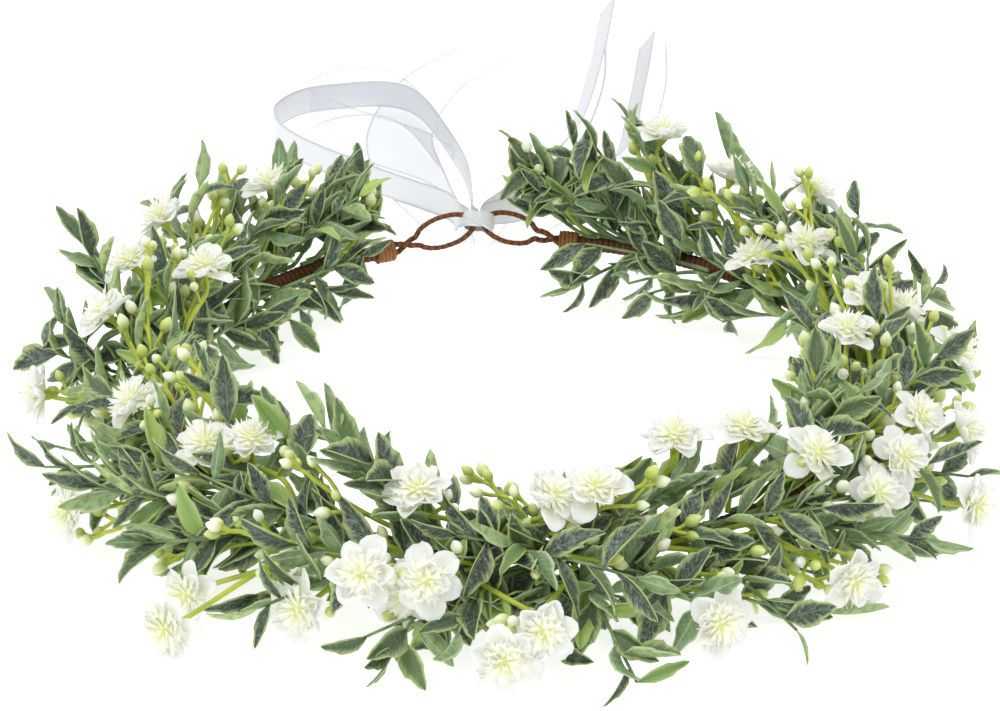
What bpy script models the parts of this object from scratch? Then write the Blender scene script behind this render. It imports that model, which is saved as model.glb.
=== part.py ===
"""A flower crown: an open hoop of taped wire, with leaf sprays, bud sprigs and blossoms
bound along it, closed at the back by a ribbon that is tied through two wire eyes.

Metres, +Z up. The origin is the centre of the hoop, on the surface that the crown lies on.
A clock angle is measured in degrees from the front (-Y), positive towards +X.
"""

import math

import bmesh
import bpy
from mathutils import Vector
from mathutils.bvhtree import BVHTree

MM = 0.001
GAP = 0.3 * MM
UP = Vector((0, 0, 1))

# The hoop: a wire core in a sleeve of wound tape.
HOOP_RADIUS = 100 * MM
HOOP_HEIGHT = 18 * MM
LEFT_END = -157
RIGHT_END = 172
WIRE_RADIUS = 1.2 * MM
TAPE_INNER = 1.7 * MM
TAPE_OUTER = 2.5 * MM
HOOP_STEP = 7
COLLAR_INNER = 2.95 * MM
COLLAR_OUTER = 3.7 * MM
COLLAR_SPAN = 3.4

# The wire eyes: one bent wire each, twisted at the neck.
EYE_WIRE_RADIUS = 1.1 * MM
EYE_HALF_WIDTH = 4.9 * MM
EYE_TWIST_RADIUS = 1.45 * MM
EYE_NECK = 9 * MM
EYE_START = 1.0 * MM

# The ribbon is tied round the tips of both eyes and swings about this axis, along X.
TIE = Vector((-12, 100, 24.5)) * MM
TIP_OFFSET = 1.7 * MM
KNOT_HALF_LENGTH = 4.9 * MM
KNOT_HALF_HEIGHT = 2.4 * MM
KNOT_BAND = 3.4 * MM
KNOT_SHIFT = -0.9 * MM
KNOT_THICKNESS = 1.0 * MM

# The ribbons.
RIBBON_THICKNESS = 0.5 * MM
SATIN_WIDTH = 10 * MM
ORGANZA_WIDTH = 24 * MM
ORGANZA_LOOP_WIDTH = 19 * MM
LYING = 0.65
ORGANZA_SPREAD = [0.29, 0.38, 0.67, 1, 1, 1, 1]

# The space kept for the swinging ribbons: up to a distance from the axis, from one X to
# another, down to a turn below the level, in degrees. They rise to the highest turn.
HIGHEST_TURN = 66
SWUNG_SPACE = [
    (30 * MM, -28 * MM, 12 * MM, -130),
    (50 * MM, -36 * MM, 24 * MM, -115),
    (300 * MM, -95 * MM, 66 * MM, -100),
]

# The greenery.
CLEARANCE = 0.45 * MM
OPENING_RADIUS = 79 * MM
STEM_RADIUS = 0.9 * MM
LEAF_LENGTH = 23 * MM
LEAF_WIDTH = 9.5 * MM
LEAF_THICKNESS = 1.0 * MM
SPRAY_LENGTH = 46 * MM
SPRAY_STEPS = 6
PETAL_COUNT = 6
BLOSSOM_RADIUS = 9.6 * MM
BLOSSOM_NOTCH = 6.6 * MM
BLOSSOM_RISE = 4.2 * MM
BLOSSOM_DEPTH = 4.0 * MM
PETAL_THICKNESS = 1.2 * MM
BUD_TWIG = 7 * MM
BUD_PROFILE = [(0.25, 0.5), (0.55, 0.5), (0.72, 1.5), (0.92, 1.6), (1.1, 0.6)]

# Each sprig's clock angle on the hoop, then the clock angle, the reach beyond the hoop's
# centreline and the height above the table of its two blossoms, in degrees and millimetres.
SPRIGS = [
    (-128, (-137, 12, 45), (-118, 22, 44)),
    (-99, (-90, 18, 40), (-105, -5, 43)),
    (-78, (-88, 38, 16), (-70, 13, 31)),
    (-56, (-51, 7, 33), (-61, 39, 12)),
    (-30, (-35, 55, 12), (-25, 31, 13)),
    (-13, (-17, 32, 28), (-14, 5, 38)),
    (5, (-1, 42, 12), (11, 6, 40)),
    (27, (26, -5, 45), (23, 34, 12)),
    (52, (46, 11, 36), (63, 40, 13)),
    (102, (88, 27, 30), (119, 0, 40)),
    (150, (143, 12, 45), (156, 13, 53)),
]
# Clock angles of the leaf sprays on each half. They grow away from the front.
SPRAY_CLOCKS = [10, 33, 56, 79, 102, 125, 146]

placed = []


def clear_scene():
    for item in list(bpy.data.objects):
        bpy.data.objects.remove(item)


def outward(clock):
    turn = math.radians(clock)
    return Vector((math.sin(turn), -math.cos(turn), 0))


def onward(clock):
    """Along the hoop, towards larger clock angles."""
    turn = math.radians(clock)
    return Vector((math.cos(turn), math.sin(turn), 0))


def around(clock, reach=0.0, height=HOOP_HEIGHT):
    return outward(clock) * (HOOP_RADIUS + reach) + UP * height


def material(name, colour, roughness):
    made = bpy.data.materials.new(name)
    made.use_nodes = True
    shader = made.node_tree.nodes["Principled BSDF"]
    shader.inputs["Base Color"].default_value = (*colour, 1)
    shader.inputs["Roughness"].default_value = roughness
    return made


def tree_of(points, faces, swell=0.0):
    """A search tree of a closed shape, grown outwards by swell."""
    mesh = bmesh.new()
    corners = [mesh.verts.new(p) for p in points]
    for face in faces:
        mesh.faces.new([corners[i] for i in face])
    mesh.normal_update()
    moved = [v.co + v.normal * swell for v in mesh.verts]
    for corner, place in zip(mesh.verts, moved):
        corner.co = place
    tree = BVHTree.FromBMesh(mesh)
    mesh.free()
    return tree


def is_free(points, faces, ignore=()):
    """True where a shape, with its clearance, touches nothing that is placed already."""
    if any(in_reserved_space(p) for p in points):
        return False
    tree = tree_of(points, faces, CLEARANCE)
    return not any(tree.overlap(other) for name, other in placed if name not in ignore)


def in_reserved_space(point):
    """The head opening, and the space that the ribbons swing through."""
    if math.hypot(point.x, point.y) < OPENING_RADIUS or point.z < -1e-6:
        return True
    back = point.y - TIE.y
    rise = point.z - TIE.z
    distance = math.hypot(back, rise)
    turn = math.degrees(math.atan2(rise, back))
    for reach, low, high, lowest_turn in SWUNG_SPACE:
        if distance < reach:
            inside = low < point.x < high and distance > 5 * MM
            return inside and lowest_turn < turn < HIGHEST_TURN
    return False


def add_node(name, points, faces, look, smooth=False, origin=None):
    """A named object from a closed shape, with its origin on a joint axis where it has one."""
    base = Vector(origin) if origin else Vector((0, 0, 0))
    mesh = bpy.data.meshes.new(name)
    mesh.from_pydata([Vector(p) - base for p in points], [], faces)
    mesh.validate()
    mesh.update()
    made = bpy.data.objects.new(name, mesh)
    made.location = base
    bpy.context.scene.collection.objects.link(made)
    mesh.materials.append(look)
    if smooth:
        mesh.shade_smooth()
        mesh.set_sharp_from_angle(angle=math.radians(40))
    placed.append((name, tree_of(points, faces)))
    return made


# Swept shapes


def frames_along(path, start_side):
    """The direction and one side vector at each point of a path, without twist."""
    frames = []
    side = Vector(start_side)
    for index, point in enumerate(path):
        ahead = path[min(index + 1, len(path) - 1)]
        behind = path[max(index - 1, 0)]
        direction = (ahead - behind).normalized()
        side = (side - direction * side.dot(direction)).normalized()
        frames.append((direction, side.copy()))
    return frames


def tube(path, radius, sides, start_side=UP, inner=None):
    """A round bar along a path, or a sleeve with open ends where inner gives its bore."""
    points = []
    faces = []
    radii = [radius] if inner is None else [radius, inner]
    ring = sides * len(radii)
    for point, (direction, side) in zip(path, frames_along(path, start_side)):
        other = direction.cross(side)
        for size in radii:
            for step in range(sides):
                turn = 2 * math.pi * step / sides
                points.append(point + (side * math.cos(turn) + other * math.sin(turn)) * size)
    last = (len(path) - 1) * ring
    for start in range(0, last, ring):
        for step in range(sides):
            near = (step + 1) % sides
            faces.append((start + step, start + near, start + ring + near, start + ring + step))
            if inner is not None:
                low = start + sides
                faces.append((low + near, low + step, low + ring + step, low + ring + near))
    if inner is None:
        faces.append(tuple(range(sides - 1, -1, -1)))
        faces.append(tuple(last + step for step in range(sides)))
        return points, faces
    for step in range(sides):
        near = (step + 1) % sides
        faces.append((near, step, sides + step, sides + near))
        faces.append((last + step, last + near, last + sides + near, last + sides + step))
    return points, faces


def smooth_path(knots, steps):
    """A Catmull-Rom curve through the knots, as a list of points."""
    ends = [knots[0] * 2 - knots[1]] + list(knots) + [knots[-1] * 2 - knots[-2]]
    path = []
    for a, b, c, d in zip(ends, ends[1:], ends[2:], ends[3:]):
        for step in range(steps):
            t = step / steps
            path.append(
                0.5 * (2 * b + (c - a) * t + (2 * a - 5 * b + 4 * c - d) * t**2
                       + (3 * b - a - 3 * c + d) * t**3)
            )
    path.append(Vector(knots[-1]))
    return path


# Shapes that grow by rings of four corners


class Growth:
    """A closed solid that grows from ring to ring, so branches and leaves stay one body."""

    def __init__(self):
        self.points = []
        self.faces = []

    def ring(self, corners):
        first = len(self.points)
        self.points.extend(corners)
        return [first + step for step in range(4)]

    def bridge(self, low, high):
        """Joins two rings and gives back the four side faces and the turned upper ring."""

        def stretch(turn):
            return sum(
                (self.points[low[i]] - self.points[high[(i + turn) % 4]]).length_squared
                for i in range(4)
            )

        turn = min(range(4), key=stretch)
        high = [high[(i + turn) % 4] for i in range(4)]
        sides = []
        for step in range(4):
            near = (step + 1) % 4
            side = (low[step], low[near], high[near], high[step])
            self.faces.append(side)
            sides.append(side)
        return sides, high

    def start(self, corners):
        ring = self.ring(corners)
        self.faces.append(tuple(reversed(ring)))
        return ring

    def grow(self, low, rings):
        """Adds rings above low, closes the end, and gives back every side face."""
        sides = []
        for corners in rings:
            added, low = self.bridge(low, self.ring(corners))
            sides.append(added)
        self.faces.append(tuple(low))
        return sides

    def branch(self, face, rings):
        """Grows a branch out of one of the side faces."""
        self.faces.remove(face)
        return self.grow(list(face), rings)

    def normal(self, face):
        a, b, c, d = (self.points[i] for i in face)
        return (c - a).cross(d - b).normalized()

    def centre(self, face):
        return sum((self.points[i] for i in face), Vector()) / 4


def corners_at(point, direction, facing, half_width, half_thickness):
    """Four corners of a cross-section whose flat side looks along facing."""
    thick = (facing - direction * facing.dot(direction)).normalized()
    side = thick.cross(direction)
    across = side * half_width
    through = thick * half_thickness
    return [point + across + through, point - across + through,
            point - across - through, point + across - through]


def stem_rings(path, radius, facing=UP):
    rings = []
    for point, (direction, side) in zip(path, frames_along(path, facing)):
        rings.append(corners_at(point, direction, side, radius * 0.8, radius * 0.8))
    return rings


def leaf_rings(base, direction, facing, length, width, droop, flat=False):
    """Cross-sections of a pointed leaf from its stalk to its tip."""
    profile = [(0.10, 0.10, 0.7), (0.38, 1.0, 1.0), (0.70, 0.72, 0.9), (1.0, 0.08, 0.6)]
    half = LEAF_THICKNESS / 2
    places = []
    for along, _, _ in profile:
        place = base + direction * (length * along) - UP * (droop * length * along**2)
        if flat and along > 0.2:
            place.z = half
        places.append(place)
    rings = []
    for index, (_, share, thick) in enumerate(profile):
        ahead = places[min(index + 1, 3)]
        behind = places[index - 1] if index else base
        course = (ahead - behind).normalized()
        look = UP if flat else facing
        if flat and index:
            course = Vector((direction.x, direction.y, 0)).normalized()
            thick = 1.0
        corners = corners_at(places[index], course, look, width / 2 * share, half * thick)
        lowest = min(corner.z for corner in corners)
        if lowest < 0:
            corners = [corner - UP * lowest for corner in corners]
        rings.append(corners)
    return rings


def solid_of(rings):
    growth = Growth()
    growth.grow(growth.start(rings[0]), rings[1:])
    return growth


# The hoop and its closure


def hoop_path(first, last):
    count = max(1, round((last - first) / HOOP_STEP))
    return [around(first + (last - first) * step / count) for step in range(count + 1)]


def build_hoop():
    steel = material("steel_wire", (0.35, 0.34, 0.33), 0.4)
    tape = material("brown_floral_tape", (0.16, 0.07, 0.035), 0.8)
    collar = material("tan_floral_tape", (0.38, 0.17, 0.08), 0.75)
    path = hoop_path(LEFT_END, RIGHT_END)
    add_node("hoop_wire", *tube(path, WIRE_RADIUS, 6), steel, smooth=True)
    add_node("hoop_tape", *tube(path, TAPE_OUTER, 8, inner=TAPE_INNER), tape, smooth=True)
    for name, first in (("left_collar", LEFT_END), ("right_collar", RIGHT_END - COLLAR_SPAN)):
        ends = [around(first), around(first + COLLAR_SPAN)]
        add_node(name, *tube(ends, COLLAR_OUTER, 12, inner=COLLAR_INNER), collar, smooth=True)


def eye_path(start, tip, spread):
    """The centreline of one bent wire: two twisted legs and a loop, closed at the tip."""
    axis = tip - start
    length = axis.length
    axis.normalize()
    spread = (spread - axis * spread.dot(axis)).normalized()
    lift = axis.cross(spread)
    path = []
    neck_steps = 6
    for step in range(neck_steps):
        share = step / neck_steps
        turn = math.pi * (share - 1)
        offset = (spread * math.cos(turn) + lift * math.sin(turn)) * EYE_TWIST_RADIUS
        path.append(start + axis * (EYE_NECK * share) + offset)
    half_length = (length - EYE_NECK) / 2
    middle = EYE_NECK + half_length
    loop_steps = 16
    first_turn = math.radians(18)
    for step in range(loop_steps + 1):
        turn = first_turn + (2 * math.pi - 2 * first_turn) * step / loop_steps
        along = middle - half_length * math.cos(turn)
        path.append(start + axis * along + spread * (EYE_HALF_WIDTH * math.sin(turn)))
    for step in reversed(range(neck_steps)):
        share = step / neck_steps
        turn = math.pi * share
        offset = (spread * math.cos(turn) + lift * math.sin(turn)) * EYE_TWIST_RADIUS
        path.append(start + axis * (EYE_NECK * share) + offset)
    return path


def build_eyes():
    tape = material("taped_eye_wire", (0.22, 0.10, 0.05), 0.75)
    spread = Vector((0, 1, 1)).normalized()
    for name, end, side in (("left_eye", LEFT_END, -1), ("right_eye", RIGHT_END, 1)):
        start = around(end) + onward(end) * (side * EYE_START)
        tip = TIE + Vector((side * TIP_OFFSET, 0, 0))
        path = eye_path(start, tip, spread)
        add_node(name, *tube(path, EYE_WIRE_RADIUS, 6), tape, smooth=True)


def build_knot():
    """A band of ribbon that passes through both eyes, with the tied lump on top."""
    satin = material("white_satin_knot", (0.80, 0.81, 0.84), 0.45)
    across = Vector((0, 1, 1)).normalized()
    lift = Vector((0, -1, 1)).normalized()
    growth = Growth()
    corner_count = 12
    rings = []
    for step in range(corner_count):
        turn = 2 * math.pi * (step + 0.5) / corner_count
        reach = (abs(math.cos(turn)) ** 4 + abs(math.sin(turn)) ** 4) ** -0.25
        x = KNOT_HALF_LENGTH * reach * math.cos(turn)
        height = KNOT_HALF_HEIGHT * reach * math.sin(turn)
        normal = (Vector((math.cos(turn), 0, 0)) / KNOT_HALF_LENGTH
                  + lift * (math.sin(turn) / KNOT_HALF_HEIGHT)).normalized()
        centre = TIE + Vector((x, 0, 0)) + lift * height + across * KNOT_SHIFT
        course = normal.cross(across)
        rings.append(growth.ring(corners_at(centre, course, normal,
                                            KNOT_BAND / 2, KNOT_THICKNESS / 2)))
    top_face = None
    for step, low in enumerate(rings):
        high = rings[(step + 1) % corner_count]
        for side in range(4):
            near = (side + 1) % 4
            growth.faces.append((low[side], low[near], high[near], high[side]))
        if step == corner_count // 4:
            top_face = growth.faces[-4]
    middle = growth.centre(top_face)
    out = growth.normal(top_face)
    lump = [corners_at(middle + out * (rise * MM), out, across, half * MM, half * MM)
            for rise, half in ((0.9, 1.9), (1.9, 1.7), (2.6, 0.9))]
    growth.branch(top_face, lump)
    add_node("ribbon_knot", growth.points, growth.faces, satin)


def ribbon(name, knots, widths, facings, look):
    """A strip through the knots: its width, and the direction its width lies in, at each."""
    steps = 4
    path = smooth_path([Vector(k) * MM for k in knots], steps)
    spans = smooth_path([Vector((width, 0, 0)) for width in widths], steps)
    looks = smooth_path([Vector(f) for f in facings], steps)
    rings = []
    for index, point in enumerate(path):
        ahead = path[min(index + 1, len(path) - 1)]
        behind = path[max(index - 1, 0)]
        course = (ahead - behind).normalized()
        across = looks[index]
        across = (across - course * across.dot(course)).normalized()
        thin = course.cross(across)
        rings.append(corners_at(point, course, thin, spans[index].x / 2, RIBBON_THICKNESS / 2))
    growth = solid_of(rings)
    add_node(name, growth.points, growth.faces, look, origin=TIE)


def build_ribbons():
    satin = material("white_satin_ribbon", (0.78, 0.79, 0.83), 0.4)
    sheer = material("white_organza_ribbon", (0.90, 0.91, 0.93), 0.5)
    sheer.node_tree.nodes["Principled BSDF"].inputs["Alpha"].default_value = 0.3
    edge = (0, 0, 1)
    loop = [(-18.5, 107, 24), (-20, 128, 14), (-24, 152, 7.5), (-48, 176, 6), (-77, 205, 6),
            (-87, 228, 6), (-79, 247, 6), (-62, 254, 6), (-46, 255, 6), (-35, 244, 6),
            (-25, 214, 6), (-17, 180, 6.5), (-14.5, 142, 10), (-14.5, 107, 24)]
    ribbon("satin_loop", loop, [SATIN_WIDTH] * len(loop), [edge] * len(loop), satin)
    inside = [(-21, 166, 13), (-33, 184, 12), (-58, 207, 11), (-74, 227, 11), (-66, 242, 11),
              (-50, 245, 11), (-39, 232, 11), (-27, 196, 12)]
    ribbon("organza_loop", inside, [ORGANZA_LOOP_WIDTH] * len(inside), [edge] * len(inside),
           sheer)
    spread = [ORGANZA_WIDTH * share for share in ORGANZA_SPREAD]
    run = [(-16, 108, 14), (-18, 126, 5), (-24, 152, LYING), (-36, 190, LYING),
           (-42, 232, LYING), (-32, 280, LYING), (-13, 312, LYING)]
    flat = (1, 0, 0)
    ribbon("organza_run", run, spread,
           [flat, flat, flat, flat, flat, (1, 0.5, 0), (1, 0.5, 0)], sheer)
    tail = [(-9.5, 107, 24), (-5, 135, 15), (6, 178, 7), (20, 220, 6), (30, 290, 6), (36, 352, 6)]
    leaning = (0.6, 0, 0.8)
    ribbon("satin_tail_long", tail, [SATIN_WIDTH] * len(tail),
           [edge, edge, (0.3, 0, 1), leaning, leaning, leaning], satin)
    tail = [(-6, 107, 24), (3, 132, 16), (19, 166, 9), (36, 198, 6), (44, 255, 6), (50, 313, 6)]
    ribbon("satin_tail_short", tail, [SATIN_WIDTH] * len(tail),
           [edge, edge, (0.3, 0, 1), leaning, leaning, leaning], satin)
    tail = [(-7, 108, 14), (-4, 126, 5), (4, 150, LYING), (22, 188, LYING), (36, 230, LYING),
            (44, 280, LYING), (46, 326, LYING)]
    ribbon("organza_tail", tail, spread, [flat] * len(tail), sheer)


# Blossoms, sprigs and leaf sprays


def blossom_place(clock, reach, height):
    centre = around(clock, reach * MM, height * MM)
    facing = (outward(clock) * (reach + 6) + UP * (height - 6)).normalized()
    return centre, facing


def build_blossom(name, centre, facing, look):
    """A shallow six-petalled head with a raised heart and a pointed base."""
    side = facing.orthogonal().normalized()
    other = facing.cross(side)
    points = []
    corner_count = PETAL_COUNT * 2
    for level in (PETAL_THICKNESS / 2, -PETAL_THICKNESS / 2):
        for step in range(corner_count):
            turn = 2 * math.pi * step / corner_count
            size = BLOSSOM_NOTCH if step % 2 else BLOSSOM_RADIUS
            around_turn = side * math.cos(turn) + other * math.sin(turn)
            points.append(centre + around_turn * size + facing * level)
    points.append(centre + facing * BLOSSOM_RISE)
    points.append(centre - facing * BLOSSOM_DEPTH)
    top, bottom = len(points) - 2, len(points) - 1
    faces = []
    for step in range(corner_count):
        near = (step + 1) % corner_count
        faces.append((step, near, top))
        faces.append((corner_count + near, corner_count + step, bottom))
        faces.append((corner_count + step, corner_count + near, near, step))
    add_node(name, points, faces, look)


def grow_bud(growth, face, direction):
    """A short twig with an oval bud, grown out of a stem's side face."""
    base = growth.centre(face)
    out = growth.normal(face)
    course = (out + direction).normalized()
    rings = []
    for along, half in BUD_PROFILE:
        rings.append(corners_at(base + course * (BUD_TWIG * along), course, UP + out * 0.2,
                                half * MM, half * MM))
    bud = solid_of(rings)
    if is_free(bud.points, bud.faces):
        growth.branch(face, rings)
        placed.append(("bud", tree_of(bud.points, bud.faces)))


def best_side(growth, faces, direction):
    return max(faces, key=lambda face: growth.normal(face).dot(direction))


def build_sprig(name, root_clock, ends, look):
    """A forked stem from the hoop to two blossoms, with buds along it."""
    targets = []
    for clock, reach, height in ends:
        centre, facing = blossom_place(clock, reach, height)
        targets.append((centre - facing * (BLOSSOM_DEPTH + GAP * 1.5), facing))
    middle = (targets[0][0] + targets[1][0]) / 2
    hub = around(root_clock)
    away = middle - hub
    away -= onward(root_clock) * away.dot(onward(root_clock))
    away = (away.normalized() + UP * 0.4).normalized()
    root = hub + away * (TAPE_OUTER + GAP + STEM_RADIUS)
    fork = root + (middle - root) * 0.35 + away * (2 * MM)
    first_end, first_facing = targets[0]
    approach = first_end - first_facing * (5 * MM)
    path = [root, root.lerp(fork, 0.5), fork, fork.lerp(approach, 0.5), approach, first_end]
    growth = Growth()
    rings = stem_rings(path, STEM_RADIUS)
    sides = growth.grow(growth.start(rings[0]), rings[1:])
    second_end, second_facing = targets[1]
    approach = second_end - second_facing * (5 * MM)
    heading = (approach - fork).normalized()
    face = best_side(growth, sides[2], heading)
    base = growth.centre(face) + growth.normal(face) * (0.8 * MM)
    path = [base, base.lerp(approach, 0.5), approach, second_end]
    twig_sides = growth.branch(face, stem_rings(path, STEM_RADIUS * 0.8))
    for group, turn in ((sides[1], 1), (sides[3], -1), (twig_sides[2], 1)):
        swing = onward(root_clock) * turn + UP * 0.6
        face = best_side(growth, [f for f in group if f in growth.faces], swing)
        grow_bud(growth, face, swing.normalized())
    placed[:] = [entry for entry in placed if entry[0] != "bud"]
    add_node(name, growth.points, growth.faces, look)


def spray_path(clock, way, lean, rise):
    """A stem that leaves the hoop and runs along it, leaning outwards and upwards."""
    path = []
    hub = around(clock)
    away = (outward(clock) * lean + UP * rise).normalized()
    root = hub + away * (TAPE_OUTER + GAP + STEM_RADIUS)
    sweep = math.degrees(SPRAY_LENGTH / HOOP_RADIUS) * way
    for step in range(SPRAY_STEPS + 1):
        share = step / SPRAY_STEPS
        here = clock + sweep * share * 0.8
        travel = share**1.3 * SPRAY_LENGTH
        offset = root - hub
        place = around(here) + outward(here) * (offset.dot(outward(clock)) + travel * lean * 0.45)
        place.z = HOOP_HEIGHT + offset.z + travel * rise * 0.45
        place.z = max(place.z, STEM_RADIUS)
        path.append(place)
    return path


def courses(clock, way, low):
    """Places and leanings to try for a spray's stem, the wanted one first."""
    leanings = [(1.0, 0.0), (1.0, -0.2), (1.0, 0.2)] if low else \
        [(0.5, 0.85), (0.2, 1.0), (0.8, 0.6), (-0.3, 1.0), (1.0, 0.4)]
    for attempt in range(8):
        for lean, rise in leanings:
            yield clock + way * attempt * 1.5, lean, rise


def build_spray(name, clock, way, low, look):
    """A stem with pairs of pointed leaves; a low spray has one leaf flat on the table."""
    for turned, lean, rise in courses(clock, way, low):
        path = spray_path(turned, way, lean, rise)
        growth = Growth()
        rings = stem_rings(path, STEM_RADIUS)
        sides = growth.grow(growth.start(rings[0]), rings[1:])
        if is_free(growth.points, growth.faces):
            break
    else:
        raise ValueError(f"{name} finds no free way along the hoop")
    own = []
    for step in range(1, SPRAY_STEPS):
        course = (path[step + 1] - path[step]).normalized()
        out = outward(turned)
        for hand in (1, -1):
            flat = low and step == 2 and hand == 1
            rings = free_leaf(growth, sides[step], course, out, hand, own, flat, lean)
            if rings is None:
                continue
            face, shape = rings
            leaf = solid_of(shape)
            own.append(tree_of(leaf.points, leaf.faces))
            growth.branch(face, shape)
    tip = free_tip(growth, path, own)
    if tip:
        growth.faces.remove(tip[0])
        growth.grow(list(tip[0]), tip[1])
    add_node(name, growth.points, growth.faces, look)


def free_tip(growth, path, own):
    """The leaf at the end of a stem, on the stem's closing face."""
    course = (path[-1] - path[-2]).normalized()
    face = growth.faces[0]
    for candidate in growth.faces:
        if growth.normal(candidate).dot(course) > 0.9:
            if (growth.centre(candidate) - path[-1]).length < 0.2 * MM:
                face = candidate
    base = growth.centre(face)
    for length in (1.0, 0.8, 0.6):
        rings = leaf_rings(base, course, UP, LEAF_LENGTH * length, LEAF_WIDTH, 0.1)
        leaf = solid_of(rings)
        if is_free(leaf.points, leaf.faces) and not touches(leaf, own):
            return face, rings
    return None


def touches(leaf, own):
    swollen = tree_of(leaf.points, leaf.faces, CLEARANCE)
    return any(swollen.overlap(other) for other in own)


def free_leaf(growth, faces, course, out, hand, own, flat, lean):
    """The first of several ways to set a leaf that touches nothing, or None."""
    if flat:
        ways = [(0.35, 1.0, -0.9, 1.15), (0.1, 1.0, -0.9, 1.15), (-0.3, 1.0, -0.9, 1.1),
                (0.6, 0.8, -1.0, 1.1), (0.9, 0.7, -0.9, 1.0), (1.2, 0.6, -0.9, 1.0)]
    else:
        ways = [(0.8, 0.9, 0.35, 1.0), (0.6, 0.7, 0.8, 1.0), (0.9, 0.8, -0.3, 0.9),
                (0.5, 0.3, 1.1, 0.9), (1.1, 0.5, 0.1, 0.8), (0.7, 0.9, -0.7, 0.8),
                (0.9, 0.6, 0.4, 0.6)]
    for forward, sideways, upward, size in ways:
        direction = course * forward + out * (hand * sideways) + UP * upward
        direction.normalize()
        face = best_side(growth, [f for f in faces if f in growth.faces], direction)
        base = growth.centre(face)
        facing = (UP + out * (0.4 * lean)).normalized()
        if abs(facing.dot(direction)) > 0.9:
            facing = -course
        length = LEAF_LENGTH * size
        rings = leaf_rings(base, direction, facing, length, LEAF_WIDTH * size, 0.12, flat)
        leaf = solid_of(rings)
        if is_free(leaf.points, leaf.faces) and not touches(leaf, own):
            return face, rings
    return None


def build_greenery():
    petal = material("white_petal", (0.86, 0.87, 0.80), 0.5)
    sprig_green = material("yellow_green_stem", (0.42, 0.48, 0.10), 0.45)
    leaf_green = material("frosted_leaf", (0.08, 0.16, 0.09), 0.6)
    number = 0
    for _, *ends in SPRIGS:
        for end in ends:
            number += 1
            build_blossom(f"blossom_{number:02d}", *blossom_place(*end), petal)
    for number, (root_clock, *ends) in enumerate(SPRIGS, start=1):
        build_sprig(f"bud_sprig_{number:02d}", root_clock, ends, sprig_green)
    number = 0
    for way in (-1, 1):
        for index, clock in enumerate(SPRAY_CLOCKS):
            number += 1
            low = index % 2 == 1
            build_spray(f"leaf_spray_{number:02d}", clock * way, way, low, leaf_green)


clear_scene()
build_hoop()
build_eyes()
build_knot()
build_ribbons()
build_greenery()
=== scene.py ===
import functools
import math
import random

import bpy
from mathutils import Matrix, Vector


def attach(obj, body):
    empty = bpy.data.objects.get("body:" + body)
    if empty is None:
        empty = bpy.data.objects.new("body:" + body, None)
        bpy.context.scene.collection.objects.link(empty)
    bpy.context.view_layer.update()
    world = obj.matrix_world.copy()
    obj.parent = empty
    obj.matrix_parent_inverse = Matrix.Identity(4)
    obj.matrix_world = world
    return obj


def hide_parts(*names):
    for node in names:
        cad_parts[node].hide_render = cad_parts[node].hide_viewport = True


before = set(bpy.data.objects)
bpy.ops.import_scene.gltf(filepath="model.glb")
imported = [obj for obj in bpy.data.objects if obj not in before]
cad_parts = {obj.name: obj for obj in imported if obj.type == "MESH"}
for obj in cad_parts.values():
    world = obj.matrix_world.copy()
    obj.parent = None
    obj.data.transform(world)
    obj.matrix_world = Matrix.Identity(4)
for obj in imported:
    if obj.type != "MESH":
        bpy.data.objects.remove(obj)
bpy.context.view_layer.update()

# The finished look of a flower crown: a hoop of taped wire with frosted leaves, forked
# sprigs of buds and white blossoms, tied at the back with satin and organza ribbon.
# Metres, +Z up. A clock angle runs in degrees from the front (-Y), positive towards +X.
MM = 0.001
UP = Vector((0, 0, 1))
SEED = 27

# The hoop, as the solids have it.
HOOP_RADIUS = 100 * MM
HOOP_HEIGHT = 18 * MM
LEFT_END = -157
RIGHT_END = 172
TAPE_RADIUS = 2.5 * MM
TAPE_PITCH = 1.9 * MM
TAPE_RIDGE = 0.28 * MM
COLLAR_SPAN = 3.4

# The wire eyes and the tie.
EYE_WIRE_RADIUS = 1.1 * MM
EYE_HALF_WIDTH = 4.9 * MM
EYE_TWIST_RADIUS = 1.45 * MM
EYE_NECK = 9 * MM
EYE_START = -1.2 * MM
TIE = Vector((-12, 100, 24.5)) * MM
TIP_OFFSET = 1.7 * MM

# The ribbons.
SATIN_WIDTH = 10 * MM
ORGANZA_WIDTH = 24 * MM
ORGANZA_LOOP_WIDTH = 19 * MM
RIBBON_SHEET = 0.18 * MM
RIBBON_ROWS = 8

# Space that the greenery stays out of: the head opening and what the ribbons swing through,
# row by row: how far from the tie, from and to which X, and from which turn upwards.
OPENING_RADIUS = 78 * MM
HIGHEST_TURN = 68
KNOT_REACH = 5 * MM
SWUNG_SPACE = [
    (30 * MM, -29 * MM, 13 * MM, -130),
    (50 * MM, -38 * MM, 26 * MM, -115),
    (300 * MM, -97 * MM, 68 * MM, -100),
]
TABLE_CLEARANCE = 0.5 * MM
STEM_CLEARANCE = 3 * MM
FOLIAGE_TOP = 66 * MM
FOLIAGE_LEFT = -150 * MM
FOLIAGE_RIGHT = 140 * MM
FOLIAGE_FRONT = -151 * MM
FOLIAGE_LEFT_END = -156
BLOSSOM_SPACE = 7.5 * MM
BARE_SPANS = [(-160, -154), (-138, -127), (138, 144), (161, 176)]


def between(first, second, turn):
    """The direction at some turn, in radians, from the first towards the second."""
    return first * math.cos(turn) + second * math.sin(turn)


def outward(clock):
    turn = math.radians(clock)
    return Vector((math.sin(turn), -math.cos(turn), 0))


def onward(clock):
    turn = math.radians(clock)
    return Vector((math.cos(turn), math.sin(turn), 0))


def around(clock, reach=0.0, height=HOOP_HEIGHT):
    return outward(clock) * (HOOP_RADIUS + reach) + UP * height


def clock_of(place):
    return math.degrees(math.atan2(place.x, -place.y))


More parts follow.
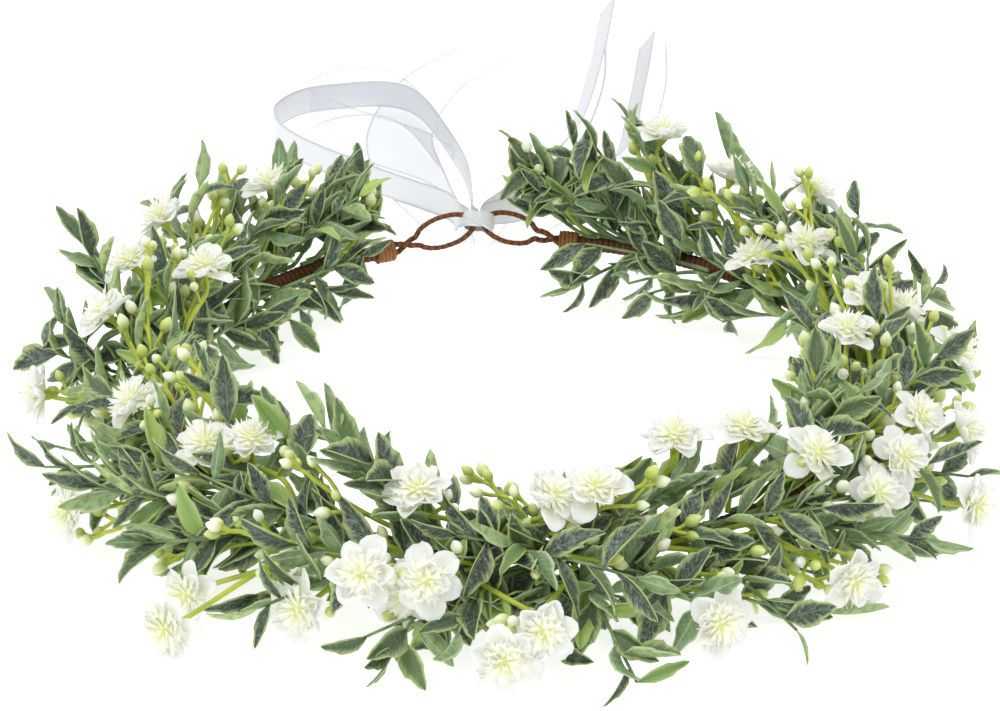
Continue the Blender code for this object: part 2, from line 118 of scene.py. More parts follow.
def spoke(clock, roll):
    """A direction out of the hoop's wire: roll 0 is outwards, 90 is up, 180 is inwards."""
    turn = math.radians(roll)
    return between(outward(clock), UP, turn)


def reserved(point):
    if math.hypot(point.x, point.y) < OPENING_RADIUS:
        return True
    back = point.y - TIE.y
    rise = point.z - TIE.z
    distance = math.hypot(back, rise)
    turn = math.degrees(math.atan2(rise, back))
    for reach, low, high, lowest_turn in SWUNG_SPACE:
        if distance < reach:
            inside = low < point.x < high and distance > KNOT_REACH
            return inside and lowest_turn < turn < HIGHEST_TURN
    return False


# Materials. A node's sockets go by number where their names repeat or are long. Math: the
# terms are 0, 1 and 2. MapRange: the value is 0, it runs from 1 to 2, and 3 and 4 are the
# results there, or 0 and 1. Mix: the share is 0, and the two colours are 6 and 7.
SOFT = {"interpolation_type": "SMOOTHSTEP"}
BLEND = {"data_type": "RGBA", "output": 2}
TIMES = {"operation": "MULTIPLY"}
TIMES_PLUS = {"operation": "MULTIPLY_ADD"}


def linear(colour):
    """An sRGB hex colour as linear red, green, blue and alpha."""
    values = [int(colour[i : i + 2], 16) / 255 for i in (1, 3, 5)]
    return [v / 12.92 if v <= 0.04045 else ((v + 0.055) / 1.055) ** 2.4 for v in values] + [1]


def add(tree, kind, inputs=None, output=0, stops=(), **settings):
    """Adds a node with its settings, links and colour stops, and returns one output."""
    node = tree.nodes.new("ShaderNode" + kind)
    for name, value in settings.items():
        setattr(node, name, value)
    for number, (place, colour) in enumerate(stops):
        elements = node.color_ramp.elements
        element = elements[number] if number < len(elements) else elements.new(place)
        element.position = place
        element.color = linear(colour)
    for name, value in (inputs or {}).items():
        if isinstance(value, bpy.types.NodeSocket):
            tree.links.new(value, node.inputs[name])
        else:
            node.inputs[name].default_value = value
    return node.outputs[output]


def new_material(name, roughness, **sockets):
    made = bpy.data.materials.new(name)
    made.use_nodes = True
    shader = made.node_tree.nodes["Principled BSDF"]
    shader.inputs["Roughness"].default_value = roughness
    for socket, value in sockets.items():
        shader.inputs[socket.replace("_", " ")].default_value = value
    return made, functools.partial(add, made.node_tree)


def translucent_with_painted_glow(name, roughness, weight, depth, blue, painted_glow, strength, **sockets):
    """A thin or waxy material that light enters, with a painted glow: an emission in place of the
    light that passes through.
    """
    return new_material(name, roughness, Subsurface_Weight=weight, Subsurface_Scale=depth,
                        Subsurface_Radius=(1, 1, blue), Emission_Color=linear(painted_glow),
                        Emission_Strength=strength, **sockets)


def surfaced(made, colour, height=None, distance=0.0, strength=0.0):
    """Gives a material its colour and, where it has one, its relief, and returns it."""
    tree = made.node_tree
    shader = tree.nodes["Principled BSDF"].inputs
    tree.links.new(colour, shader["Base Color"])
    if height is not None:
        relief = add(tree, "Bump", {"Height": height, "Distance": distance, "Strength": strength})
        tree.links.new(relief, shader["Normal"])
    return made


def noise_of(place, size, detail=3.0):
    """The inputs of a noise whose spots are about this size, in metres."""
    return {"Vector": place, "Scale": 1 / size, "Detail": detail}


def blade_places(node):
    """On a blade: 0 at its midrib to 1 at its edge, 0 at its stalk to 1 at its tip."""
    uv = node("UVMap", uv_map="UVMap")
    axes = node("SeparateXYZ", {0: uv}).node.outputs
    offset = node("Math", {0: axes[0], 1: 2.0, 2: -1.0}, **TIMES_PLUS)
    return node("Math", {0: offset}, operation="ABSOLUTE"), axes[1]


def side_veins(node, across, along, count, lean):
    """Thin lines that leave the midrib at a slant, 1 on a line and 0 between."""
    slant = node("Math", {0: across, 1: -lean}, **TIMES)
    phase = node("Math", {0: along, 1: count, 2: slant}, **TIMES_PLUS)
    saw = node("Math", {0: phase, 1: 0.5}, operation="PINGPONG")
    return node("MapRange", {0: saw, 1: 0.14, 2: 0.02}, **SOFT)


def leaf_top_material():
    # Soft polyethylene leaf, moulded and dusted: a dark face under a chalky grey bloom that
    # follows the veins, thinning to a pale green rim. Its broad grey patches are partly
    # painted sheen.
    made, node = new_material("frosted_polyethylene_leaf", 0.55, Specular_IOR_Level=0.4)
    across, along = blade_places(node)
    tone = node("Attribute", output=2, attribute_name="tone")
    place = node("TexCoord", output=3)
    colour = node("ValToRGB", {0: tone}, stops=[
        (0.0, "#24352A"), (0.35, "#334731"), (0.6, "#576F41"), (0.8, "#86A85C"), (1.0, "#B8D270")])
    slant = node("Math", {0: across, 1: -3.0}, **TIMES)
    course = node("Math", {0: along, 1: 13.0, 2: slant}, **TIMES_PLUS)
    leaf_own = node("Math", {0: tone, 1: 90.0}, **TIMES)
    streaks = node("CombineXYZ", {0: course, 1: across, 2: leaf_own})
    streaky = node("TexNoise", {"Vector": streaks, "Scale": 1.3, "Detail": 3.0})
    # Broad grey patches: the frost bloom, with painted sheen laid into the same patches.
    bloom_and_sheen_patches = node("MapRange", {0: streaky, 1: 0.38, 2: 0.66, 3: 0.25, 4: 1.0}, **SOFT)
    # The bloom's grains are finer than this; they are drawn coarse enough to show.
    grains = node("TexNoise", noise_of(place, 0.9 * MM))
    speckle = node("MapRange", {0: grains, 1: 0.36, 2: 0.62, 3: 0.2, 4: 0.95}, **SOFT)
    fresh = node("MapRange", {0: tone, 1: 0.9, 2: 0.0})
    # The grey mixed into the face is real bloom and painted sheen together.
    bloom_and_sheen = node("Math", {0: bloom_and_sheen_patches, 1: speckle}, **TIMES)
    bloom_and_sheen = node("Math", {0: bloom_and_sheen, 1: fresh}, **TIMES)
    colour = node("Mix", {0: bloom_and_sheen, 6: colour, 7: linear("#8F9C92")}, **BLEND)
    veins = side_veins(node, across, along, 8, 2.0)
    rib = node("MapRange", {0: across, 1: 0.11, 2: 0.02}, **SOFT)
    lines = node("Math", {0: veins, 1: 0.3, 2: rib}, **TIMES_PLUS)
    pale = node("Math", {0: lines, 1: 0.4}, use_clamp=True, **TIMES)
    colour = node("Mix", {0: pale, 6: colour, 7: linear("#90A87C")}, **BLEND)
    ragged = node("Math", {0: streaky, 1: 0.7, 2: across}, **TIMES_PLUS)
    rim = node("MapRange", {0: ragged, 1: 0.88, 2: 1.36, 4: 0.9}, **SOFT)
    colour = node("Mix", {0: rim, 6: colour, 7: linear("#B2C583")}, **BLEND)
    height = node("Math", {0: streaky, 1: lines}, operation="SUBTRACT")
    return surfaced(made, colour, height, 0.3 * MM, 0.6)


def leaf_underside_material():
    # The paler back of the moulded leaf: raised veins, cloudy green between them.
    made, node = new_material("pale_polyethylene_leaf_back", 0.55, Specular_IOR_Level=0.4)
    across, along = blade_places(node)
    tone = node("Attribute", output=2, attribute_name="tone")
    place = node("TexCoord", output=3)
    colour = node("ValToRGB", {0: tone}, stops=[
        (0.0, "#7A966C"), (0.5, "#96B076"), (1.0, "#BED488")])
    clouds = node("TexNoise", noise_of(place, 2.2 * MM, 4.0))
    cloud = node("MapRange", {0: clouds, 1: 0.42, 2: 0.62, 4: 0.6}, **SOFT)
    colour = node("Mix", {0: cloud, 6: colour, 7: linear("#5B7654")}, **BLEND)
    veins = side_veins(node, across, along, 9, 2.2)
    rib = node("MapRange", {0: across, 1: 0.12, 2: 0.04}, **SOFT)
    edge = node("MapRange", {0: across, 1: 0.74, 2: 1.0})
    lines = node("Math", {0: veins, 1: 0.5, 2: rib}, **TIMES_PLUS)
    pale = node("Math", {0: lines, 1: 0.5, 2: edge}, use_clamp=True, **TIMES_PLUS)
    colour = node("Mix", {0: pale, 6: colour, 7: linear("#C6D6A8")}, **BLEND)
    return surfaced(made, colour, lines, 0.2 * MM, 0.5)


def stem_material(name, roughness, light, dark, patch):
    # Flexible moulded stem, slightly waxy, with darker stretches along it.
    made, node = new_material(name, roughness)
    place = node("TexCoord", output=3)
    patches = node("TexNoise", noise_of(place, patch))
    share = node("MapRange", {0: patches, 1: 0.35, 2: 0.7}, **SOFT)
    colour = node("Mix", {0: share, 6: linear(light), 7: linear(dark)}, **BLEND)
    lumps = node("TexNoise", noise_of(place, 1.1 * MM))
    return surfaced(made, colour, lumps, 0.1 * MM, 0.4)


def petal_material():
    # Thin frosted polyester petal, heat-formed: white and soft, greener towards the heart,
    # with faint veins; light enters the film, and a faint emission adds a painted glow.
    made, node = translucent_with_painted_glow("frosted_polyester_petal", 0.5, 0.4, 2 * MM, 0.92, "#F3F5EC", 0.1,
                             Sheen_Weight=0.15)
    across, along = blade_places(node)
    place = node("TexCoord", output=3)
    colour = node("ValToRGB", {0: along}, stops=[
        (0.0, "#D3DC8C"), (0.25, "#E2E6C8"), (0.55, "#E9EBE4"), (1.0, "#ECEDEA")])
    veins = side_veins(node, along, across, 3.5, 0.4)
    faint = node("Math", {0: veins, 1: 0.1}, **TIMES)
    colour = node("Mix", {0: faint, 6: colour, 7: linear("#D8DACB")}, **BLEND)
    ripples = node("TexNoise", noise_of(place, 1.5 * MM))
    return surfaced(made, colour, ripples, 0.15 * MM, 0.35)


def fringe_material():
    # Polyester film cut into fringe: cream and translucent, yellow-green at its root.
    # A faint emission adds a painted glow, lifting the shade between the strips.
    made, node = translucent_with_painted_glow("cut_polyester_fringe", 0.55, 0.5, 2 * MM, 0.9, "#F1F1D6", 0.17)
    along = blade_places(node)[1]
    colour = node("ValToRGB", {0: along}, stops=[
        (0.0, "#C3D04C"), (0.4, "#DDE3A2"), (0.75, "#EAEBD8"), (1.0, "#EDEDE4")])
    return surfaced(made, colour)


def bud_material():
    # Moulded polyethylene bud: yellow-green at its base, cream above, a little glossy.
    # A faint emission adds a painted glow.
    made, node = translucent_with_painted_glow("moulded_polyethylene_bud", 0.38, 0.3, 1.5 * MM, 0.8, "#EDF0C8", 0.05)
    rise = node("Attribute", output=2, attribute_name="rise")
    tone = node("Attribute", output=2, attribute_name="tone")
    place = node("TexCoord", output=3)
    pale = node("ValToRGB", {0: rise}, stops=[
        (0.0, "#A9BC42"), (0.3, "#DCE3A0"), (0.6, "#EFF1DC"), (1.0, "#F3F4EA")])
    green = node("ValToRGB", {0: rise}, stops=[
        (0.0, "#93A636"), (0.5, "#B4C250"), (1.0, "#D6E08A")])
    colour = node("Mix", {0: tone, 6: pale, 7: green}, **BLEND)
    lumps = node("TexNoise", noise_of(place, 1.0 * MM))
    return surfaced(made, colour, lumps, 0.08 * MM, 0.4)


def tape_material(name, ridge, shaded_groove):
    # Waxed crepe paper floral tape, stretched and wound: dull, crinkled across, with painted
    # shade in the grooves where each turn overlaps the last.
    made, node = new_material(name, 0.78, Specular_IOR_Level=0.3)
    low = node("Attribute", output=2, attribute_name="shaded_groove")
    place = node("TexCoord", output=3)
    crinkle = node("TexNoise", noise_of(place, 0.8 * MM, 5.0))
    dirt = node("MapRange", {0: crinkle, 1: 0.45, 2: 0.7, 4: 0.4}, **SOFT)
    # The groove mask paints shade under each turn's edge; the crinkle patches darken it too.
    share = node("Math", {0: low, 1: 0.75, 2: dirt}, use_clamp=True, **TIMES_PLUS)
    colour = node("Mix", {0: share, 6: linear(ridge), 7: linear(shaded_groove)}, **BLEND)
    return surfaced(made, colour, crinkle, 0.2 * MM, 0.8)


def ribbon_weave(node, threads, border_start):
    """Across a ribbon: the ripple of its threads, and 1 on its woven borders."""
    across, _ = blade_places(node)
    turns = node("Math", {0: across, 1: threads * math.pi}, **TIMES)
    ripple = node("Math", {0: turns}, operation="SINE")
    border = node("MapRange", {0: across, 1: border_start, 2: border_start + 0.05}, **SOFT)
    return ripple, border


def satin_material():
    # Woven polyester satin: smooth sheen along the floats and a denser woven edge. Its
    # threads are finer than these 30 across the width, which are as fine as can show.
    made, node = new_material("woven_polyester_satin", 0.36, Sheen_Weight=0.25,
                              Anisotropic=0.5, Specular_IOR_Level=0.55)
    ripple, border = ribbon_weave(node, 30, 0.84)
    colour = node("Mix", {0: border, 6: linear("#DCDEE2"), 7: linear("#CDD0D5")}, **BLEND)
    height = node("Math", {0: ripple, 1: border}, operation="ADD")
    return surfaced(made, colour, height, 0.05 * MM, 0.35)


def organza_material():
    # Sheer nylon organza: an open plain weave that lets most light through, with a firm
    # edge. The weave is drawn coarser than the real one, to show at all.
    made, node = new_material("sheer_nylon_organza", 0.35, Sheen_Weight=0.2,
                              Base_Color=linear("#D3D7DC"))
    made.surface_render_method = "BLENDED"
    ripple, border = ribbon_weave(node, 60, 0.92)
    threads = node("Math", {0: ripple, 1: 0.04, 2: 0.18}, **TIMES_PLUS)
    cover = node("Math", {0: border, 1: 0.3, 2: threads}, **TIMES_PLUS)
    tree = made.node_tree
    tree.links.new(cover, tree.nodes["Principled BSDF"].inputs["Alpha"])
    return made


def mottled_material(name, roughness, grain, first, second, depth=0.0, **sockets):
    """A material that drifts between two colours, with a relief as coarse as they are."""
    made, node = new_material(name, roughness, **sockets)
    place = node("TexCoord", output=3)
    drift = node("TexNoise", noise_of(place, grain))
    colour = node("Mix", {0: drift, 6: linear(first), 7: linear(second)}, **BLEND)
    return surfaced(made, colour, drift if depth else None, depth, 0.6)


LEAF_TOP = leaf_top_material()
LEAF_BACK = leaf_underside_material()
STEM = stem_material("waxy_moulded_stem", 0.42, "#C2CC46", "#99AE3B", 9 * MM)
DARK_STEM = stem_material("dull_moulded_leaf_stem", 0.6, "#5B7249", "#8DA673", 6 * MM)
PETAL = petal_material()
FRINGE = fringe_material()
BUD = bud_material()
BROWN_TAPE = tape_material("brown_crepe_tape", "#7A4A2E", "#3A2115")
TAN_TAPE = tape_material("tan_crepe_tape", "#B07C50", "#7C4A2A")
EYE_TAPE = tape_material("brown_crepe_tape_on_wire", "#8A5734", "#4C2C1A")
SATIN = satin_material()
ORGANZA = organza_material()
# The same satin pulled tight: long soft highlights broken by fine creases. Its colour drifts
# between two greys with the creases' relief: painted light and shade.
SATIN_WRAP = mottled_material("gathered_polyester_satin", 0.34, 1.6 * MM, "#D4D6DB", "#E4E5E9",
                              0.25 * MM, Sheen_Weight=0.25, Anisotropic=0.4,
                              Specular_IOR_Level=0.55)
# Drawn steel florist's wire: grey and fairly smooth.
STEEL = mottled_material("drawn_steel_wire", 0.35, 2 * MM, "#8F8D8A", "#B5B3AF", Metallic=1.0)
# A white acrylic light table: matt, and lit from below so that shadows stay faint.
LIGHT_TABLE = mottled_material("backlit_white_acrylic", 0.9, 0.2, "#D2D2D2", "#D6D6D6",
                               Specular_IOR_Level=0.1, Emission_Color=(1, 1, 1, 1),
                               Emission_Strength=0.7)


# Modelling helpers


def deselect():
    for item in bpy.context.selected_objects:
        item.select_set(False)


def take(item):
    """Makes one object the only selected and active one."""
    deselect()
    item.select_set(True)
    bpy.context.view_layer.objects.active = item
    return item


def placed(name, data):
    """An object in the scene that shows a mesh, a curve, a light or a camera."""
    made = bpy.data.objects.new(name, data)
    bpy.context.scene.collection.objects.link(made)
    return made


def shape(name, primitive, **settings):
    """A new mesh from one of the primitives, with its place applied."""
    deselect()
    primitive(**settings)
    made = bpy.context.active_object
    made.name = name
    bpy.ops.object.transform_apply()
    return made


def coat(item, *looks):
    item.data.materials.clear()
    for look in looks:
        item.data.materials.append(look)


def apply_modifier(item, kind, **settings):
    modifier = item.modifiers.new(kind.lower(), kind)
    for name, value in settings.items():
        setattr(modifier, name, value)
    take(item)
    bpy.ops.object.modifier_apply(modifier=modifier.name)


def set_values(mesh, name, values):
    attribute = mesh.attributes.get(name) or mesh.attributes.new(name, "FLOAT", "POINT")
    attribute.data.foreach_set("value", values)


def pick(item, wanted):
    """Edit mode, with only the corners selected whose place passes the test."""
    if bpy.context.mode == "EDIT_MESH":
        bpy.ops.object.mode_set(mode="OBJECT")
    take(item)
    for part in (*item.data.polygons, *item.data.edges):
        part.select = False
    for corner in item.data.vertices:
        corner.select = wanted(corner.co)
    bpy.ops.object.mode_set(mode="EDIT")
    bpy.ops.mesh.select_mode(type="VERT")


def done(item):
    bpy.ops.object.mode_set(mode="OBJECT")
    take(item)
    bpy.ops.object.shade_smooth()
    return item


def copy_of(master, matrix, tone=None):
    mesh = master.data.copy()
    mesh.transform(matrix)
    if tone is not None:
        set_values(mesh, "tone", [tone] * len(mesh.vertices))
    return placed(master.name + "_copy", mesh)


def joined(name, items):
    deselect()
    for item in items:
        item.select_set(True)
    bpy.context.view_layer.objects.active = items[0]
    if len(items) > 1:
        bpy.ops.object.join()
    made = bpy.context.active_object
    made.name = name
    made.data.name = name
    return made


def frame_at(place, along, facing, scale):
    """The matrix that lays a master's +Y along a direction, with +Z towards facing."""
    y = along.normalized()
    z = (facing - y * facing.dot(y)).normalized()
    x = y.cross(z)
    turned = Matrix((x, y, z)).transposed().to_4x4()
    return Matrix.Translation(place) @ turned @ Matrix.Diagonal((*scale, 1))


def stems(name, runs, look, sides=2):
    """Round stems as one mesh; a run is a list of points and the radius at each end."""
    curve = bpy.data.curves.new(name, "CURVE")
    curve.dimensions = "3D"
    curve.bevel_depth = 1.0
    curve.bevel_resolution = sides
    curve.use_fill_caps = True
    for points, first, last in runs:
        line = curve.splines.new("POLY")
        line.points.add(len(points) - 1)
        for index, (point, place) in enumerate(zip(line.points, points)):
            point.co = (*place, 1)
            point.radius = first + (last - first) * index / (len(points) - 1)
    take(placed(name, curve))
    bpy.ops.object.convert(target="MESH")
    made = bpy.context.active_object
    coat(made, look)
    bpy.ops.object.shade_smooth()
    return made


def smooth_path(knots, steps):
    """A Catmull-Rom curve through the knots, as a list of points."""
    ends = [knots[0] * 2 - knots[1]] + list(knots) + [knots[-1] * 2 - knots[-2]]
    path = []
    for a, b, c, d in zip(ends, ends[1:], ends[2:], ends[3:]):
        for step in range(steps):
            t = step / steps
            path.append(0.5 * (2 * b + (c - a) * t + (2 * a - 5 * b + 4 * c - d) * t**2
                               + (3 * b - a - 3 * c + d) * t**3))
    path.append(Vector(knots[-1]))
    return path


def on_crown(piece, slot, *nodes):
    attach(piece, "crown")
    if nodes:
        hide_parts(*nodes)
    return piece


# The taped hoop, its collars and eyes


def wind_tape(made, radius, pitch, ridge, place_on_bar, look):
    """Steps every corner in or out, as turns of tape do where each overlaps the last."""
    lap = 0.14
    grooves = []
    for index, corner in enumerate(made.data.vertices):
        centre, travelled, share = place_on_bar(index, corner.co)
        wave = (travelled / pitch + share) % 1.0
        drop = wave / lap if wave < lap else (1 - wave) ** 1.6
        lump = math.sin(travelled / pitch * 2.1 + 19 * share)
        away = (corner.co - centre).normalized()
        corner.co = centre + away * (radius - ridge * (1 - drop) + lap * ridge * lump)
        # A mask for the painted shade in the groove under each turn.
        grooves.append(max(0.0, 1 - drop * 1.5))
    set_values(made.data, "shaded_groove", grooves)
    coat(made, look)
    take(made)
    bpy.ops.object.shade_smooth_by_angle(angle=math.radians(50))


def wound_arc(name, first, last, radius, pitch, ridge, sides, look):
    """A stretch of the hoop: a circle spun round the crown's axis, then wound with tape."""
    sweep = math.radians(last - first)
    steps = round(sweep * HOOP_RADIUS / (pitch / 6))
    made = shape(name, bpy.ops.mesh.primitive_circle_add, vertices=sides, radius=radius,
                 fill_type="NGON", location=around(first),
                 rotation=(math.radians(90), 0, math.radians(first - 90)))
    pick(made, lambda place: True)
    bpy.ops.mesh.spin(steps=steps, angle=-sweep, center=(0, 0, HOOP_HEIGHT), axis=(0, 0, 1))
    bpy.ops.mesh.select_all(action="SELECT")
    bpy.ops.mesh.remove_doubles(threshold=1e-6)
    bpy.ops.mesh.normals_make_consistent(inside=False)
    done(made)

    def place_on_bar(_, place):
        clock = math.atan2(place.x, -place.y)
        if clock < math.radians(LEFT_END) - 0.1:
            clock += 2 * math.pi
        centre = Vector((math.sin(clock), -math.cos(clock), 0)) * HOOP_RADIUS
        centre.z = HOOP_HEIGHT
        out = (place - centre).dot(centre.xy.to_3d().normalized())
        share = math.atan2(place.z - centre.z, out) / (2 * math.pi)
        return centre, clock * HOOP_RADIUS, share % 1.0

    wind_tape(made, radius, pitch, ridge, place_on_bar, look)
    return made


def wound_wire(name, path, radius, pitch, ridge, look):
    """A bent wire wound with tape: a round bar along the path."""
    made = stems(name, [(path, radius, radius)], look, sides=4)
    around_bar = len(made.data.vertices) // len(path)

    def place_on_bar(index, _):
        ring, step = divmod(index, around_bar)
        ring = min(ring, len(path) - 1)
        return path[ring], travelled[ring], step / around_bar

    travelled = [0.0]
    for here, there in zip(path, path[1:]):
        travelled.append(travelled[-1] + (there - here).length)
    wind_tape(made, radius, pitch, ridge, place_on_bar, look)
    return made


def build_hoop():
    tape = wound_arc("wound_tape", LEFT_END, RIGHT_END, TAPE_RADIUS, TAPE_PITCH, TAPE_RIDGE,
                     12, BROWN_TAPE)
    on_crown(tape, "brown_tape", "hoop_tape")
    for node, first in (("left_collar", LEFT_END), ("right_collar", RIGHT_END - COLLAR_SPAN)):
        collar = wound_arc(node + "_winding", first, first + COLLAR_SPAN, 3.7 * MM, 1.3 * MM,
                           0.4 * MM, 20, TAN_TAPE)
        on_crown(collar, "tan_tape", node)
    coat(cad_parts["hoop_wire"], STEEL)


def eye_path(start, tip, spread):
    """The centreline of one bent wire: two twisted legs and a loop, closed at the tip."""
    axis = tip - start
    length = axis.length
    axis.normalize()
    spread = (spread - axis * spread.dot(axis)).normalized()
    lift = axis.cross(spread)
    half_length = (length - EYE_NECK) / 2
    middle = EYE_NECK + half_length
    neck_shares = [step / 6 for step in range(6)]
    loop_steps = 16
    first_turn = math.radians(18)

    def on_leg(share, turn):
        offset = between(spread, lift, turn) * EYE_TWIST_RADIUS
        return start + axis * (EYE_NECK * share) + offset

    path = [on_leg(share, math.pi * (share - 1)) for share in neck_shares]
    for step in range(loop_steps + 1):
        turn = first_turn + (2 * math.pi - 2 * first_turn) * step / loop_steps
        along = middle - half_length * math.cos(turn)
        path.append(start + axis * along + spread * (EYE_HALF_WIDTH * math.sin(turn)))
    return path + [on_leg(share, math.pi * share) for share in reversed(neck_shares)]


def build_eyes():
    spread = Vector((0, 1, 1)).normalized()
    for node, end, side in (("left_eye", LEFT_END, -1), ("right_eye", RIGHT_END, 1)):
        start = around(end) + onward(end) * (side * EYE_START)
        tip = TIE + Vector((side * TIP_OFFSET, 0, 0))
        path = smooth_path(eye_path(start, tip, spread), 8)
        eye = wound_wire(node + "_wire", path, EYE_WIRE_RADIUS, 2.2 * MM, 0.2 * MM, EYE_TAPE)
        on_crown(eye, "eye_tape", node)


def satin_band(name, centre, axis, long_way, half_length, half_height, width, pleats):
    """A band of gathered satin round both eyes: an open drum, squared off and pleated."""
    made = shape(name, bpy.ops.mesh.primitive_cylinder_add, vertices=36, radius=1, depth=1,
                 end_fill_type="NOTHING")
    pick(made, lambda place: True)
    for cut in (0.25, 0.0, -0.25, 0.125, -0.125, 0.375, -0.375):
        bpy.ops.mesh.select_all(action="SELECT")
        bpy.ops.mesh.bisect(plane_co=(0, 0, cut), plane_no=(0, 0, 1))
    done(made)
    high_way = axis.cross(long_way)
    for corner in made.data.vertices:
        turn = math.atan2(corner.co.y, corner.co.x)
        across = corner.co.z
        x = math.copysign(abs(math.cos(turn)) ** 0.75, math.cos(turn))
        y = math.copysign(abs(math.sin(turn)) ** 0.75, math.sin(turn))
        pleat = math.sin(across * pleats * 2 * math.pi + 1.4 * math.sin(turn)) * 0.16 * MM
        swell = pleat + (0.25 - across * across) * 1.6 * MM
        narrow = 1 - 0.22 * abs(math.cos(turn))
        corner.co = (centre + long_way * (x * (half_length + swell))
                     + high_way * (y * (half_height + swell)) + axis * (across * width * narrow))
    coat(made, SATIN_WRAP)
    apply_modifier(made, "SOLIDIFY", thickness=0.22 * MM, offset=1)
    apply_modifier(made, "SUBSURF", levels=1, render_levels=1)
    return made


def build_knot():
    across = Vector((0, 1, 1)).normalized()
    sideways = Vector((1, 0, 0))
    wrap = satin_band("knot_wrap", TIE, across, sideways, 4.5 * MM, 2.0 * MM, 5.4 * MM, 3)
    slanted = (across + sideways * 0.55).normalized()
    long_way = (sideways - slanted * sideways.dot(slanted)).normalized()
    over = satin_band("knot_crossing", TIE, slanted, long_way, 4.9 * MM, 2.6 * MM, 3.6 * MM, 2)
    on_crown(joined("satin_knot", [wrap, over]), "satin", "ribbon_knot")


# Ribbons


def lay_ribbon(body, node, look, knots, widths, facings):
    """A ribbon along knots in millimetres, with its width and its way across at each."""
    path = smooth_path([Vector(knot) * MM for knot in knots], RIBBON_ROWS)
    for place in path:
        place.z = max(place.z, RIBBON_SHEET)
    spans = smooth_path([Vector((wide, 0, 0)) for wide in widths], RIBBON_ROWS)
    ways = smooth_path([Vector(facing) for facing in facings], RIBBON_ROWS)
    count = len(path) - 1
    made = shape(node + "_cloth", bpy.ops.mesh.primitive_grid_add, x_subdivisions=6,
                 y_subdivisions=count, size=1)
    for corner in made.data.vertices:
        index = min(round((corner.co.y + 0.5) * count), count)
        ahead = path[min(index + 1, count)]
        behind = path[max(index - 1, 0)]
        course = (ahead - behind).normalized()
        across = ways[index]
        across = (across - course * across.dot(course)).normalized()
        corner.co = path[index] + across * (corner.co.x * spans[index].x)
    bpy.ops.object.shade_smooth()
    coat(made, look)
    apply_modifier(made, "SOLIDIFY", thickness=RIBBON_SHEET, offset=0)
    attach(made, body)
    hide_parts(node)


def build_ribbons():
    """Each ribbon comes out of the knot, gathered, and runs back across the table."""
    edge = (0, 0, 1)
    flat = (1, 0, 0)
    leaning = (0.6, 0, 0.8)
    lying = 0.25
    loop = [(-13.5, 102, 24.5), (-18.5, 108, 23.5), (-20, 128, 14), (-24, 152, 7.5),
            (-48, 176, 6), (-77, 205, 6), (-87, 228, 6), (-79, 247, 6), (-62, 254, 6),
            (-46, 255, 6), (-35, 244, 6), (-25, 214, 6), (-17, 180, 6.5), (-14.5, 142, 10),
            (-14.5, 108, 23.5), (-12, 102, 24.5)]
    inside = [(-21, 166, 13), (-33, 184, 12), (-58, 207, 11), (-74, 227, 11), (-66, 242, 11),
              (-50, 245, 11), (-39, 232, 11), (-27, 196, 12)]
    run = [(-13, 102, 23), (-16, 108, 14), (-18, 126, 5), (-24, 152, lying), (-36, 190, lying),
           (-42, 232, lying), (-32, 280, lying), (-13, 312, lying)]
    long_tail = [(-11.6, 102.2, 24.5), (-10.6, 108, 23.5), (-5, 135, 15), (6, 178, 7),
                 (20, 220, 6), (30, 290, 6), (36, 352, 6)]
    short_tail = [(-11.3, 102.2, 24.5), (-10.1, 108, 23.5), (3, 132, 16), (19, 166, 9),
                  (36, 198, 6), (44, 255, 6), (50, 313, 6)]
    sheer_tail = [(-11.6, 101.8, 22.8), (-9.5, 108, 14), (-4, 126, 5), (4, 150, lying),
                  (22, 188, lying), (36, 230, lying), (44, 280, lying), (46, 326, lying)]
    root = [4.5 * MM, 8.5 * MM]
    loop_widths = root + [SATIN_WIDTH] * (len(loop) - 4) + root[::-1]
    tail_widths = [3.4 * MM, 7.5 * MM] + [SATIN_WIDTH] * 5
    sheer_widths = [ORGANZA_WIDTH * share for share in (0.09, 0.22, 0.38, 0.67, 1, 1, 1, 1)]
    tail_ways = [edge, edge, edge, (0.3, 0, 1), leaning, leaning, leaning]
    satin = ("satin", SATIN, SATIN_WIDTH)
    organza = ("organza", ORGANZA, ORGANZA_WIDTH)
    narrow = ("organza", ORGANZA, ORGANZA_LOOP_WIDTH)
    for body, node, (slot, look, width), knots, widths, ways in (
        ("loop_ribbons", "satin_loop", satin, loop, loop_widths, [edge] * len(loop)),
        ("loop_ribbons", "organza_loop", narrow, inside, [ORGANZA_LOOP_WIDTH] * len(inside),
         [edge] * len(inside)),
        ("loop_ribbons", "organza_run", organza, run, sheer_widths,
         [flat] * 6 + [(1, 0.5, 0)] * 2),
        ("tail_ribbons", "satin_tail_long", satin, long_tail, tail_widths, tail_ways),
        ("tail_ribbons", "satin_tail_short", satin, short_tail, tail_widths, tail_ways),
        ("tail_ribbons", "organza_tail", organza, sheer_tail, sheer_widths, [flat] * 8),
    ):
        lay_ribbon(body, node, look, knots, widths, ways)


# Masters that the greenery is copied from


